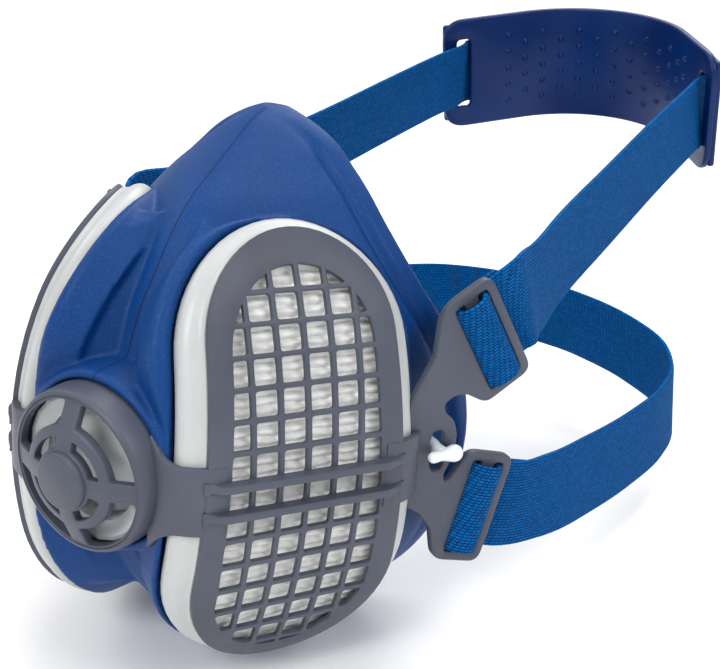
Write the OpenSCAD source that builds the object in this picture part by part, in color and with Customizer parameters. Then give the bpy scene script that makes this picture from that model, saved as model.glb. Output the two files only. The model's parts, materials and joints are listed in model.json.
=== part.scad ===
// Half-mask respirator with two slim side filters, a front exhale valve and two elastic straps.
// Frame: X is across the face, +Y points into the face, +Z is up. The origin is the middle of the
// face opening, level with the exhale valve.

/* [Face piece] */
// Wall thickness of the soft face piece
wall = 3.2; // [2.6:0.1:3.6]
// Width that the sealing edge turns inwards
seal_turn = 9; // [6:0.5:10]
// Outer radius of the raised boss around the exhale valve
boss_r = 16.8; // [16.2:0.1:17]

/* [Filters] */
// Radius that each filter bends to, from its top to its bottom
filter_bend_r = 91; // [88:1:96]
// Turn of each filter away from straight ahead
filter_turn = 62; // [61:0.5:63]
// Tip of each filter towards the sky
filter_tip = 2; // [1:0.5:3]
// Radius of the top end of the grille
grille_top_r = 21.5; // [21:0.5:22]
// Radius of the bottom end of the grille
grille_bottom_r = 23.8; // [23:0.1:24]
// Spacing of the grille bars along the filter
bar_pitch = 6.5; // [6:0.1:7]
// Width of a grille bar
bar_w = 1.2; // [0.9:0.1:1.6]
// Depth of the white filter case behind the grille
case_depth = 7; // [6.5:0.1:7.5]

/* [Frame] */
// Height of the frame's band where it crosses the filters
band_h = 15; // [13:0.5:16]
// Thickness of the anchor plates
plate_t = 2.2; // [1.8:0.1:2.6]
// Radius of the ring that holds the windows of the valve cover
window_r = 16.3; // [15.8:0.1:16.4]

/* [Straps] */
// Width of the elastic straps
strap_w = 22; // [20:0.5:22.5]
// Thickness of the elastic straps
strap_t = 1.4; // [1:0.1:1.6]
// Radius that the middle of the head cradle bends to
cradle_r = 37; // [35:0.5:39]
// Height of the head cradle
cradle_h = 38; // [36:1:42]

/* [Hidden] */

$fn = 64;
fit_gap = 0.3;
joint_gap = 0.05;

// Middle of each filter's outer face, where the band crosses it
filter_x = 38.6;
filter_y = -47.2;
filter_z = -3;
filter_roll = -3.5;

// Straight height from the band to the centres of the grille's end circles
grille_top_y = 30.7;
grille_bottom_y = -22.1;
// Share of an outline's growth that its two ends leave out
end_pull = 0.37;
side_inset = 0.05;
cover_t = 2;
bar_pitch_across = 6.24;
bars_across = 5;
first_bar = -6;
last_bar = 6;
case_back = cover_t + case_depth;
back_t = 2;
floor_depth = case_back + back_t + fit_gap;
port_r = 11;

// Middle of each anchor plate, where the toggle passes through it
plate_x = 51;
plate_y = -13.9;
plate_z = -3.7;
upper_bar = [11.1, 24.8, 28.4];
lower_bar = [10.4, -16.9, -17.1];
bar_half = 1.8;
slot_w = 2.6;
slot_l = strap_w + 1;
pad_w = 13.4;
pad_l = slot_l + 4.6;
loop_l = strap_w - 1;
tail_l = 13;
toggle_base = -13.2;

// Sections of the face piece from chin to nose: height, front edge, half width of the seal,
// depth of the seal, roundness of the front and straightness of the cheek
sections = [
    [-58, -33, 8, -8, 8, 10], [-56, -39, 15, -5, 11, 13], [-51, -45.3, 25.5, -1, 14, 18],
    [-44, -50.1, 34, 2.5, 15, 22], [-38, -54.5, 38.3, 4.5, 16, 24], [-31, -59, 41.6, 6, 18, 25],
    [-23, -62.2, 44, 8, 20, 26], [-10, -62.8, 46, 9, 20, 26], [0, -62.6, 46, 8, 20, 26],
    [10, -62, 45.2, 5, 19, 26], [17, -60.5, 44, 2, 17, 26], [24, -57.8, 42.4, -2, 14, 26],
    [31, -54.4, 39.3, -5.2, 11, 25], [37, -50, 36, -7, 9, 23], [44, -44.8, 31, -7.6, 7, 19],
    [50, -39, 26, -7, 6, 15], [55, -31.5, 21, -6.4, 5, 11], [60, -23.5, 15.5, -6, 4, 7],
    [64, -17, 8.5, -6.6, 3, 4], [66, -12, 3.5, -7, 1.5, 2]];
section_steps = 6;
fronts = [for (s = sections) [s[0], s[1]]];
ridge_half = 2.8;
web_ends = [-39, 51];
web_steps = 14;
collar = 8;
cavity_low = -53.5;
cavity_high = 58;

// Heights of the exhale valve's parts in front of the origin
boss_front = 64.5;
seat_r = 13.5;
disc_r = 11.5;
disc_front = 66.6;
cover_front = 75.2;
cover_back = 65;

// Routes of the straps on the wearer's left; the right side mirrors them
head_route = [[57, 10.5, 26.3], [55.4, 19, 26.3], [51.6, 40, 28], [48.2, 76, 32.5], [45.5, 116, 38.8],
    [43.9, 144, 42.8], [43, 156.4, 44.2], [43.5, 161.9, 44.8]];
neck_route = [[60, 10.5, -25.5], [61.6, 22, -27], [63.6, 45, -30], [65, 70, -32],
    [65, 92, -32.6], [62, 108, -32], [54, 119.5, -30], [40, 126, -27], [20, 129, -24],
    [0, 130, -23]];
tip_w = 6;
cradle_z = 48.9;
cradle_back = 188;
cradle_tilt = 8.5;
cradle_turn = 50;
cradle_half = 62;
cradle_half_x = 49.3;
cradle_t = 2.2;
cradle_slot = 54.2;
slot_gap = 5.8;
nub_columns = 6;
nub_pitch = 6.3;
nub_rise = 5.8;

module left() { children(); }
module right() { mirror([1, 0, 0]) children(); }

// Local frames: x runs from front to back, y runs up and z points outwards
module on_filter() {
    translate([filter_x, filter_y, filter_z])
        rotate([90 - filter_tip, 0, filter_turn]) rotate([0, 0, filter_roll]) children();
}
module on_plate() {
    translate([plate_x, plate_y, plate_z]) rotate([90, 0, filter_turn]) children();
}
module on_bar(bar) {
    translate([bar[0], bar[1], 0]) rotate([0, 0, bar[2]]) children();
}
module on_valve() { rotate([90, 0, 0]) children(); }

// Egg-shaped outline of a filter at a depth below its outer face, grown on every side
module egg(grow = 0, depth = 0) {
    top = grille_top_r + grow;
    bottom = grille_bottom_r + grow;
    side = side_inset;
    top_y = end_height(grille_top_y, grille_top_r, grow, depth);
    bottom_y = -end_height(-grille_bottom_y, grille_bottom_r, grow, depth);
    translate([0, top_y]) circle(r = top);
    translate([0, bottom_y]) circle(r = bottom);
    polygon([[bottom - side, bottom_y], [top - side, top_y], [side - top, top_y],
        [side - bottom, bottom_y]]);
}

// Height of an end circle's centre, as the outline shrinks towards the bend's axis
function end_height(y, r, grow, depth) =
    y - end_pull * max(0, grow) - (y + r) * depth / filter_bend_r;

// A layer of the bent filter between two depths below its outer face
module layer(from, to, grow = 0, outline_depth = -1) {
    intersection() {
        translate([0, 0, -70]) linear_extrude(100)
            egg(grow, outline_depth < 0 ? (from + to) / 2 : outline_depth);
        difference() {
            bend(from, 110);
            bend(to, 112);
        }
    }
}
module bend(depth, length) {
    translate([-length / 2, 0, -filter_bend_r])
        rotate([0, 90, 0]) cylinder(r = filter_bend_r - depth, h = length, $fn = 1.5 * $fn);
}

// ---- Face piece ----

function curve_point(a, b, c, d, t) =
    a * pow(1 - t, 3) + b * 3 * t * pow(1 - t, 2) + c * 3 * t * t * (1 - t) + d * pow(t, 3);

function outer_half(s) = [for (i = [0:section_steps])
    curve_point([0, s[1]], [s[4], s[1]], [s[2], s[3] - s[5]], [s[2], s[3]], i / section_steps)];

function inner_half(s) = [for (i = [0:section_steps])
    curve_point([0, s[1] + wall], [max(1, s[4] - wall / 2), s[1] + wall],
        [s[2] - wall / 2, s[3] - s[5]], [s[2] - seal_turn, s[3] + 1], i / section_steps)];

function both_sides(half) = concat(
    [for (i = [section_steps:-1:1]) [-half[i][0], half[i][1]]], half);

module level(s, inner) {
    translate([0, 0, s[0]]) linear_extrude(0.02)
        polygon(both_sides(inner ? inner_half(s) : outer_half(s)));
}

// Joins each section to the next one
module stack(list, inner) {
    for (i = [0:len(list) - 2]) hull() {
        level(list[i], inner);
        level(list[i + 1], inner);
    }
}

module face_body() { stack(sections, false); }

module face_cavity() {
    stack([for (s = sections) if (s[0] > cavity_low && s[0] < cavity_high) s], true);
}

module socket_walls() {
    on_filter() layer(5.5, floor_depth + 3, collar, 6);
}

function half_width(y, grow) = let (
        top_y = grille_top_y - end_pull * grow,
        bottom_y = grille_bottom_y + end_pull * grow)
    y > top_y ? sqrt(max(0, pow(grille_top_r + grow, 2) - pow(y - top_y, 2)))
    : y < bottom_y ? sqrt(max(0, pow(grille_bottom_r + grow, 2) - pow(y - bottom_y, 2)))
    : grille_bottom_r + grow + (grille_top_r - grille_bottom_r) * (y - bottom_y) / (top_y - bottom_y);

function turned(v, angle) = [v[0] * cos(angle) - v[1] * sin(angle), v[0] * sin(angle) + v[1] * cos(angle)];

// A point of the bent filter in the frame's axes
function filter_point(x, y, depth) = let (
        r = filter_bend_r - depth,
        low = y * r / filter_bend_r,
        rolled = turned([x, low], filter_roll),
        tipped = turned([rolled[1], sqrt(r * r - low * low) - filter_bend_r], 90 - filter_tip),
        level = turned([rolled[0], tipped[0]], filter_turn))
    [filter_x + level[0], filter_y + level[1], filter_z + tipped[1]];

// The flat flank from the narrow front ridge out to the rim of a filter's socket
module flank_edge(y) {
    rim = filter_point(0.4 - half_width(y, collar), y, 6);
    root = filter_point(collar + 1 - half_width(y, collar), y, 16.5);
    ridge = ridge_half + max(0, rim[2] - 20) * 0.1;
    front = lookup(rim[2], fronts);
    for (p = [[ridge, front, rim[2]], [ridge, front + 2.4, rim[2]], rim, root])
        translate(p) cube(0.4, center = true);
}

module flank() {
    step = (web_ends[1] - web_ends[0]) / web_steps;
    for (i = [0:web_steps - 1]) hull() {
        flank_edge(web_ends[0] + i * step);
        flank_edge(web_ends[0] + (i + 1) * step);
    }
}

module socket_clearance() {
    on_filter() {
        layer(-12, 7, 5.5 + fit_gap, 4.5);
        layer(6.9, floor_depth, 4 + fit_gap, 7);
        translate([0, 0, -60]) cylinder(r = port_r + 0.1, h = 60);
        translate([0, 0, port_top - 12]) cylinder(r = port_r + 2, h = 9);
        translate([-40, -band_h / 2 - 0.6, -10]) cube([16, band_h + 1.2, 20]);
    }
    on_plate() {
        translate([-13, -18, -plate_t - fit_gap]) cube([18, 38, 20]);
        translate([0, 0, toggle_base]) cylinder(r = 2.1, h = 40);
        translate([0, 0, toggle_base - 12]) cylinder(r = 4.2, h = 12.1);
    }
}

module face_piece() {
    $fn = 32;
    color([0.12, 0.27, 0.57]) difference() {
        union() {
            difference() {
                union() {
                    face_body();
                    left() flank();
                    right() flank();
                }
                face_cavity();
            }
            left() socket_walls();
            right() socket_walls();
            on_valve() translate([0, 0, 57]) cylinder(r = boss_r, h = boss_front - 57);
        }
        left() socket_clearance();
        right() socket_clearance();
        on_valve() {
            translate([0, 0, 40]) cylinder(r = seat_r + 0.1, h = 60);
            translate([0, 0, boss_front]) cylinder(r = 18.3, h = 60);
        }
    }
}

// ---- Frame: valve cover, bands, grille ribs and anchor plates in one moulding ----

module ring(r_in, r_out, from, to) {
    translate([0, 0, from]) difference() {
        cylinder(r = r_out, h = to - from);
        translate([0, 0, -1]) cylinder(r = r_in, h = to - from + 2);
    }
}

module spoke() {
    rotate([90, 0, 0]) translate([0, 0, -2.2]) linear_extrude(4.4)
        polygon([[4, 77.6], [4, 79.6], [6.4, 79.6], [11.4, 77], [17, 75.1], [17, 73.2],
            [11.4, 75], [8, 76.6]]);
}

module valve_cover() {
    on_valve() {
        ring(17, 18, cover_back, cover_front - 1.2);
        ring(window_r, 17.6, cover_front - 2.4, cover_front);
        ring(9.4, 11.4, 75, 77);
        translate([0, 0, 77.6]) cylinder(r = 6.4, h = 2.4);
        for (turn = [0:90:270]) rotate([0, 0, turn]) spoke();
    }
}

// The band's route over the filter, drawn in the filter's own x and z
module band_front() {
    translate([0, band_h / 2, 0]) rotate([90, 0, 0]) linear_extrude(band_h)
        polygon([[-19.5, 0], [-23.6, 0], [-27, -0.8], [-29.4, -2.6], [-30.6, -5.4], [-31.4, -9.4],
            [-29.7, -9.4], [-28.8, -6.6], [-28.8, -4.1], [-27.6, -2.8], [-25.9, -1.8],
            [-19.5, -1.8]]);
}
module band_back() {
    translate([0, band_h / 2, 0]) rotate([90, 0, 0]) linear_extrude(band_h)
        polygon([[19.5, 0], [23.6, 0], [27, -0.8], [29.6, -2.8], [30.6, -5.2], [30.6, -6.8],
            [28.8, -6.8], [28.8, -4.1], [27.6, -2.8], [25.9, -1.8], [19.5, -1.8]]);
}
module grille_ribs() {
    for (side = [-1, 1])
        translate([0, side * bar_pitch / 2 + 0.9, 0]) rotate([90, 0, 0]) linear_extrude(1.8)
            polygon([[-23.6, -0.6], [-23.6, 0.2], [-19, 2.2], [19, 2.2], [23.6, 0.2],
                [23.6, -0.6], [19.6, -0.6], [19.6, joint_gap], [-19.6, joint_gap], [-19.6, -0.6]]);
}

module rounded_pad(w, l, r) {
    square([w - 2 * r, l], center = true);
    square([w, l - 2 * r], center = true);
    for (sx = [-1, 1], sy = [-1, 1])
        translate([sx * (w / 2 - r), sy * (l / 2 - r)]) circle(r = r);
}

module slots() {
    for (side = [-1, 1])
        translate([side * (bar_half + slot_w / 2), 0]) square([slot_w, slot_l], center = true);
}

module plate_outline() {
    difference() {
        union() {
            on_bar(upper_bar) rounded_pad(pad_w, pad_l, 2.5);
            on_bar(lower_bar) rounded_pad(pad_w, pad_l, 2.5);
            polygon([[-6.5, 12.5], [-5, 17.5], [-2, 23], [-1.3, 31.5], [5, 32], [8, 14],
                [6.5, 12], [3.5, 13], [0.6, 11.2], [1, 9.2], [3.6, 6.7], [4.4, 3], [3.9, -2],
                [1.5, -6.5], [2.2, -8.6], [6, -7], [4, -28.6], [-0.4, -26.5], [-1.2, -19.5],
                [-4, -15.5], [-6.5, -12]]);
        }
        on_bar(upper_bar) slots();
        on_bar(lower_bar) slots();
        circle(r = 2);
        translate([-0.9, 0]) square([3.6, 9.4], center = true);
    }
}

module anchor_plate() {
    translate([0, 0, -plate_t]) linear_extrude(plate_t) plate_outline();
}

module frame_side() {
    on_filter() {
        band_front();
        band_back();
        grille_ribs();
    }
    on_plate() anchor_plate();
}

module exoskeleton_frame() {
    color([0.43, 0.44, 0.5]) {
        valve_cover();
        left() frame_side();
        right() frame_side();
    }
}

// ---- Exhale valve ----

module exhale_valve_seat() {
    color([0.85, 0.9, 0.92]) on_valve() {
        ring(11.9, seat_r, 58, 70);
        ring(11.9, 16.4, boss_front + joint_gap, boss_front + 1.4);
        ring(9.6, 12, 64.5, 66);
        ring(1.6, 3.2, 62, 66);
        for (turn = [45:60:345]) rotate([0, 0, turn])
            translate([2.4, -0.6, 63.5]) cube([8, 1.2, 2]);
        for (turn = [0:30:330]) rotate([0, 0, turn])
            translate([13.2, -0.4, boss_front + 1]) cube([2.8, 0.8, 4]);
    }
}

module exhale_valve_disc() {
    color([0.78, 0.82, 0.85]) on_valve() {
        translate([0, 0, disc_front]) cylinder(r = disc_r, h = 0.8);
        translate([0, 0, 59.5]) cylinder(r = 1.5, h = disc_front - 59.4);
        translate([0, 0, 58.6]) cylinder(r = 2.3, h = 1);
    }
}

// ---- Filters ----

module grille_bars() {
    for (i = [0:bars_across - 1])
        translate([(i - (bars_across - 1) / 2) * bar_pitch_across - bar_w / 2, -60, -60])
            cube([bar_w, 120, 90]);
    for (i = [first_bar:last_bar])
        translate([0, 0, -filter_bend_r])
            rotate([-(i + 0.5) * bar_pitch * 180 / (PI * filter_bend_r), 0, 0])
                translate([-30, -bar_w / 2, filter_bend_r - 20]) cube([60, bar_w, 40]);
}

module filter_cover() {
    difference() {
        union() {
            difference() {
                layer(0, cover_t);
                translate([0, -1.6, -70]) linear_extrude(100) egg(-5.2);
            }
            intersection() {
                layer(0.3, cover_t, -5);
                grille_bars();
            }
        }
        for (side = [-1, 1])
            translate([side * (19.3 + 10) - 10, -band_h / 2 - 0.2, -1.9])
                cube([20, band_h + 0.4, 10]);
    }
}

module filter_case() {
    difference() {
        union() {
            layer(cover_t, 3.2, 2.6);
            layer(3.1, 4.4, 4.2);
            layer(4.3, 6.8, 5.3);
            layer(6.7, case_back, 3.8);
        }
        translate([0, 0, -80]) linear_extrude(120) egg(-1.4, case_back);
    }
}

fold_pitch_deg = 2;
fold_first = -14;
fold_last = 17;
fold_outer = filter_bend_r - cover_t - 0.3;
fold_inner = filter_bend_r - case_back + 0.2;

function fold_point(i) = let (r = i % 2 == 0 ? fold_outer : fold_outer - 4.6, a = i * fold_pitch_deg)
    [r * cos(a) - filter_bend_r, r * sin(a)];

function fold_base(a) = [fold_inner * cos(a) - filter_bend_r, fold_inner * sin(a)];

module filter_media() {
    intersection() {
        translate([0, 0, -70]) linear_extrude(100) egg(-1.8, case_back);
        rotate([0, -90, 0]) translate([0, 0, -30]) linear_extrude(60)
            polygon(concat([for (i = [fold_first:fold_last]) fold_point(i)],
                [for (i = [fold_last:-1:fold_first]) fold_base(i * fold_pitch_deg)]));
    }
}

module filter_back() {
    difference() {
        union() {
            layer(case_back + joint_gap, case_back + back_t, 2.4);
            translate([0, 0, -case_back - back_t - 3.4]) cylinder(r = port_r - 1.4, h = 3.6);
        }
        translate([0, 0, -40]) cylinder(r = port_r - 3, h = 60);
    }
}

// ---- Inhale valves ----

port_top = -floor_depth - 0.6;

module inlet_port() {
    difference() {
        union() {
            translate([0, 0, port_top - 5]) cylinder(r = port_r, h = 5);
            translate([0, 0, port_top - 6]) cylinder(r = port_r + 1.6, h = 1.4);
        }
        translate([0, 0, port_top - 4]) cylinder(r = port_r - 1.2, h = 6);
        translate([0, 0, port_top - 7]) cylinder(r = port_r - 3, h = 6);
    }
    for (turn = [0:60:120]) rotate([0, 0, turn])
        translate([-port_r + 1.6, -0.6, port_top - 6]) cube([2 * port_r - 3.2, 1.2, 1.6]);
}

module inhale_disc() {
    translate([0, 0, port_top - 7.3]) cylinder(r = port_r - 0.8, h = 0.8);
}

// ---- Toggles that button the anchor plates to the face piece ----

module toggle() {
    translate([0, 0, toggle_base - 1]) cylinder(r = 1.6, h = 3.2 - toggle_base);
    translate([0, 0, toggle_base - 1.6]) cylinder(r = 3.6, h = 1.3);
    translate([-3.9, 0, 2]) rotate([0, 90, 0]) cylinder(r = 1.5, h = 7.8);
}

// ---- Head cradle and straps ----

// A point of the cradle in the frame's axes: distance along its inner face, offset outwards and height
function cradle_flat(along, offset) = let (
        arc = cradle_r * cradle_turn * PI / 180,
        angle = cradle_angle(along),
        rest = sign(along) * max(0, abs(along) - arc))
    [(cradle_r + offset) * sin(angle) + rest * cos(angle),
        (cradle_r + offset) * cos(angle) - cradle_r - rest * sin(angle)];
function cradle_angle(along) =
    sign(along) * min(abs(along) / cradle_r * 180 / PI, cradle_turn);
function cradle_point(along, offset) = let (p = cradle_flat(along, offset))
    [p[0], cradle_back + p[1] * cos(cradle_tilt), cradle_z + p[1] * sin(cradle_tilt)];

module on_cradle() {
    translate([0, cradle_back, cradle_z]) rotate([cradle_tilt, 0, 0]) children();
}
module at_cradle(along, height) {
    p = cradle_flat(along, 0);
    translate([p[0], p[1], height]) rotate([0, 0, -cradle_angle(along)]) children();
}

module cradle_wall() {
    steps = 22;
    spots = [-cradle_half, each [for (i = [-steps / 2:steps / 2])
        i * 2 * cradle_r * cradle_turn * PI / 180 / steps], cradle_half];
    translate([0, 0, -cradle_h / 2]) linear_extrude(cradle_h)
        polygon(concat([for (s = spots) cradle_flat(s, 0)],
            [for (i = [len(spots) - 1:-1:0]) cradle_flat(spots[i], cradle_t)]));
}

module head_cradle() {
    color([0.1, 0.2, 0.48]) on_cradle() difference() {
        union() {
            intersection() {
                cradle_wall();
                rotate([90, 0, 0]) translate([0, 0, -10]) linear_extrude(80)
                    rounded_pad(2 * cradle_half_x, cradle_h, 6);
            }
            for (column = [-nub_columns:nub_columns]) {
                rows = 4 - abs(column) % 2;
                for (row = [0:rows])
                    at_cradle(column * nub_pitch, (row - rows / 2) * nub_rise)
                        rotate([90, 0, 0]) translate([0, 0, -0.6]) cylinder(r = 0.9, h = 1.6, $fn = 12);
            }
        }
        for (side = [-1, 1])
            at_cradle(side * cradle_slot, 0) cube([slot_gap, 12, slot_l + 1.4], center = true);
    }
}

function unit(v) = v / norm(v);
function route_dir(route, i) =
    unit(route[min(i + 1, len(route) - 1)] - route[max(i - 1, 0)]);
// lean is the angle that the strap's upper edge leans back at this place
function route_ring(route, i, w, lean) = let (
        d = route_dir(route, i),
        rise = [0, -sin(lean), cos(lean)],
        up = unit(rise - d * (rise * d)),
        out = cross(d, up) * strap_t / 2,
        edge = up * w / 2)
    [route[i] + out + edge, route[i] - out + edge, route[i] - out - edge, route[i] + out - edge];
function strap_width_at(i, n) = i == 0 || i == n - 1 ? tip_w : strap_w;
function lean_at(i, n, ends, most) = most * min(1, i / ends, (n - 1 - i) / ends);
function mirrored(route) = [for (i = [len(route) - 1:-1:0]) [-route[i][0], route[i][1], route[i][2]]];
over_cradle = [for (s = [50:-5:-50]) cradle_point(s, cradle_t + 0.4 + strap_t / 2)];

function band_faces(rings, m) = [for (k = [0:rings - 2], i = [0:m - 1])
    let (j = (i + 1) % m) each [[k * m + i, k * m + j, (k + 1) * m + j],
        [k * m + i, (k + 1) * m + j, (k + 1) * m + i]]];

// A closed solid through a list of rings that all have the same number of points
module skin(rings) {
    m = len(rings[0]);
    n = len(rings);
    polyhedron(points = [for (r = rings) each r],
        faces = concat([[for (i = [m - 1:-1:0]) i]], band_faces(n, m),
            [[for (i = [0:m - 1]) (n - 1) * m + i]]));
}

module strap(route, ends, lean) {
    n = len(route);
    skin([for (i = [0:n - 1]) route_ring(route, i, strap_width_at(i, n), lean_at(i, n, ends, lean))]);
}

module head_strap() {
    color([0.1, 0.35, 0.65])
        strap(concat(head_route, over_cradle, mirrored(head_route)), len(head_route) - 2, cradle_tilt);
}

module neck_strap() {
    back = mirrored(neck_route);
    color([0.1, 0.35, 0.65])
        strap(concat(neck_route, [for (i = [1:len(back) - 1]) back[i]]), 1, 0);
}

// Where a strap wraps an anchor bar: a closed loop round the bar and a tail behind the plate
module strap_loop(bar) {
    reach = bar_half + 0.15;
    on_plate() on_bar(bar) {
        translate([0, loop_l / 2, 0]) rotate([90, 0, 0]) linear_extrude(loop_l)
            difference() {
                translate([-reach - strap_t, -plate_t - 0.15 - strap_t])
                    square([2 * (reach + strap_t), plate_t + 0.3 + 2 * strap_t]);
                translate([-reach, -plate_t - 0.15]) square([2 * reach, plate_t + 0.3]);
            }
        translate([0, 0, -plate_t - 0.15 - strap_t]) linear_extrude(strap_t)
            polygon([[reach, -loop_l / 2], [6, -loop_l / 2], [tail_l, -tip_w / 2],
                [tail_l, tip_w / 2], [6, loop_l / 2], [reach, loop_l / 2]]);
    }
}

module blue_loop(bar) { color([0.1, 0.38, 0.68]) strap_loop(bar); }
module grey_cover() { color([0.43, 0.44, 0.5]) on_filter() filter_cover(); }
module white_case() { color([0.93, 0.93, 0.92]) on_filter() filter_case(); }
module pale_media() { color([0.88, 0.88, 0.86]) on_filter() filter_media(); }
module white_back() { color([0.9, 0.9, 0.89]) on_filter() filter_back(); }
module grey_port() { color([0.5, 0.52, 0.56]) on_filter() inlet_port(); }
module pale_disc() { color([0.85, 0.86, 0.86]) on_filter() inhale_disc(); }
module white_toggle() { color([0.95, 0.95, 0.93]) on_plate() toggle(); }

face_piece();
exoskeleton_frame();
exhale_valve_seat();
exhale_valve_disc();
left() grey_cover();  // left_filter_cover
right() grey_cover();  // right_filter_cover
left() white_case();  // left_filter_case
right() white_case();  // right_filter_case
left() pale_media();  // left_filter_media
right() pale_media();  // right_filter_media
left() white_back();  // left_filter_back
right() white_back();  // right_filter_back
left() grey_port();  // left_inlet_port
right() grey_port();  // right_inlet_port
left() pale_disc();  // left_inhale_disc
right() pale_disc();  // right_inhale_disc
left() white_toggle();  // left_toggle
right() white_toggle();  // right_toggle
head_cradle();
head_strap();
neck_strap();
left() blue_loop(upper_bar);  // left_head_strap_loop
right() blue_loop(upper_bar);  // right_head_strap_loop
left() blue_loop(lower_bar);  // left_neck_strap_loop
right() blue_loop(lower_bar);  // right_neck_strap_loop
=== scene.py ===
import json
import math

import bmesh
import bpy
import numpy as np
from mathutils import Matrix, Vector
from mathutils.geometry import delaunay_2d_cdt


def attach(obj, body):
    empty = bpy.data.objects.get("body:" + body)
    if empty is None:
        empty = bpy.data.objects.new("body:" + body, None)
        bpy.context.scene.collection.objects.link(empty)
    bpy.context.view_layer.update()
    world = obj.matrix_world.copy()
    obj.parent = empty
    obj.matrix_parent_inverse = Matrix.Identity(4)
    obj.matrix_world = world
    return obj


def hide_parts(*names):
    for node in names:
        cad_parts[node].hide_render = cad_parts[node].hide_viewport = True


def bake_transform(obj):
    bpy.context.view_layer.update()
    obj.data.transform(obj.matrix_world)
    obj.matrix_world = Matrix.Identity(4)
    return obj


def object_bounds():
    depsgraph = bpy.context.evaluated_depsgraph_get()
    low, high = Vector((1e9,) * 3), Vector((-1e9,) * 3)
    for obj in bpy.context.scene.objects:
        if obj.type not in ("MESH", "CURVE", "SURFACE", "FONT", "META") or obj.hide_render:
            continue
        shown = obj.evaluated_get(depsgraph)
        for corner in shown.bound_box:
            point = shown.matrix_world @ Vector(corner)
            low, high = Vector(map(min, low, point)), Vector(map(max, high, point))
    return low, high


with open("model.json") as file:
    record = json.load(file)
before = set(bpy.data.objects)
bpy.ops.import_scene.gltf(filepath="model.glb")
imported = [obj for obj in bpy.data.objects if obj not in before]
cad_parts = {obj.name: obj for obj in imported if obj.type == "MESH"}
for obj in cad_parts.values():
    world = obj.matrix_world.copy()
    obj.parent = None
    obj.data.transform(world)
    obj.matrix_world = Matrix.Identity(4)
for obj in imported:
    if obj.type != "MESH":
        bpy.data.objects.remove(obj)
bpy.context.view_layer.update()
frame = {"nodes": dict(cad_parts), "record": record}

MM = 0.001
WELD_REACH = 1e-6  # in metres
SIDES = {"left": 1, "right": -1}

# Filter: egg-shaped outline of two circles, bent round a level axis
FILTER_ORIGIN = (38.6, -47.2, -3)
FILTER_TURN, FILTER_TIP, FILTER_ROLL = 62, 2, -3.5
BEND_R = 91
TOP_R, TOP_Y = 21.5, 30.7
BOTTOM_R, BOTTOM_Y = 23.8, -22.1
COVER_T = 1.25
CASE_BACK = 9
FLOOR_DEPTH, PORT_HOLE_R = 11.3, 11.1
END_PULL = 0.37
COLLAR, LIP = 6.7, 3.4
CELL_W, CELL_H, BAR = 6.24, 6.5, 1.1
BAND_H, RIB_HALF = 15, 23.4

# Exhale valve: flat facets round its clear skirt
SKIRT_FACETS = 22

# Anchor plate and its two strap bars: place on the plate and tilt
PLATE_ORIGIN = (51, -13.9, -3.7)
PLATE_T = 2.2
UPPER_BAR = (11.1, 24.8, 28.4)
LOWER_BAR = (10.4, -16.9, -17.1)
BAR_HALF, SLOT_W, SLOT_L = 1.8, 2.6, 23
PAD_W, PAD_L = 13.4, 27.6

# Straps and cradle
STRAP_W, STRAP_T = 22, 1.4
STRAP_SAMPLES, STRAP_ROUNDS = 6, 14  # steps between keys, rounds that smooth how the width turns
CRADLE_R, CRADLE_TURN, CRADLE_TILT = 37, 50, 8.5
CRADLE_BACK, CRADLE_Z = 188, 48.9
CRADLE_H, CRADLE_HALF, CRADLE_T, CRADLE_SLOT = 38, 61.5, 2.2, 54.2
NUB_PITCH, NUB_RISE = 6.3, 5.8
HEAD_ROUTE = [(55.4, 19, 26.3), (51.6, 40, 28), (48.2, 76, 32.5), (45.5, 116, 38.8), (43.9, 144, 42.8),
              (43, 156.4, 44.2), (43.5, 161.9, 44.8)]
STRAP_LEAN = 0.1
NECK_ROUTE = [(61.6, 22, -27), (63.6, 45, -30), (65, 70, -32), (65, 92, -32.6), (62, 108, -32),
              (54, 119.5, -30), (40, 126, -27), (20, 129, -24)]
NECK_BACK = (0, 130, -23)

# Sections of the face piece from chin to nose: height, front edge, half width of the seal, depth of the
# seal, roundness of the front and straightness of the cheek
SECTIONS = [
    (-58, -33, 8, -8, 8, 10), (-56, -39, 15, -5, 11, 13), (-51, -45.3, 25.5, -1, 14, 18),
    (-44, -50.1, 34, 2.5, 15, 22), (-38, -54.5, 38.3, 4.5, 16, 24), (-31, -59, 41.6, 6, 18, 25),
    (-23, -62.2, 44, 8, 20, 26), (-10, -62.8, 46, 9, 20, 26), (0, -62.6, 46, 8, 20, 26),
    (10, -62, 45.2, 5, 19, 26), (17, -60.5, 44, 2, 17, 26), (24, -57.8, 42.4, -2, 14, 26),
    (31, -54.4, 39.3, -5.2, 11, 25), (37, -50, 36, -7, 9, 23), (44, -44.8, 31, -7.6, 7, 18),
    (50, -39, 26, -7, 5.8, 13.5), (55, -31.5, 21, -6.4, 4.8, 9.7), (60, -23.5, 15.5, -6, 4, 6.5),
    (64, -17, 8.5, -6.6, 3, 4), (66, -12, 3.5, -7, 1.5, 2)]
WALL, SEAL_TURN, EDGE_R = 3.2, 9, 1.6
GROOVE_DEPTH, GROOVE_PLACE, GROOVE_W = 2.3, 8.2, 1.6
VOXEL, QUICK_VOXEL = 0.5, 1.0  # mesh size of the softened face piece
CAVITY_LOW, CAVITY_HIGH = -53.5, 58


# ---- Places ----

def turn(angle, axis):
    return Matrix.Rotation(math.radians(angle), 4, axis)


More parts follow.
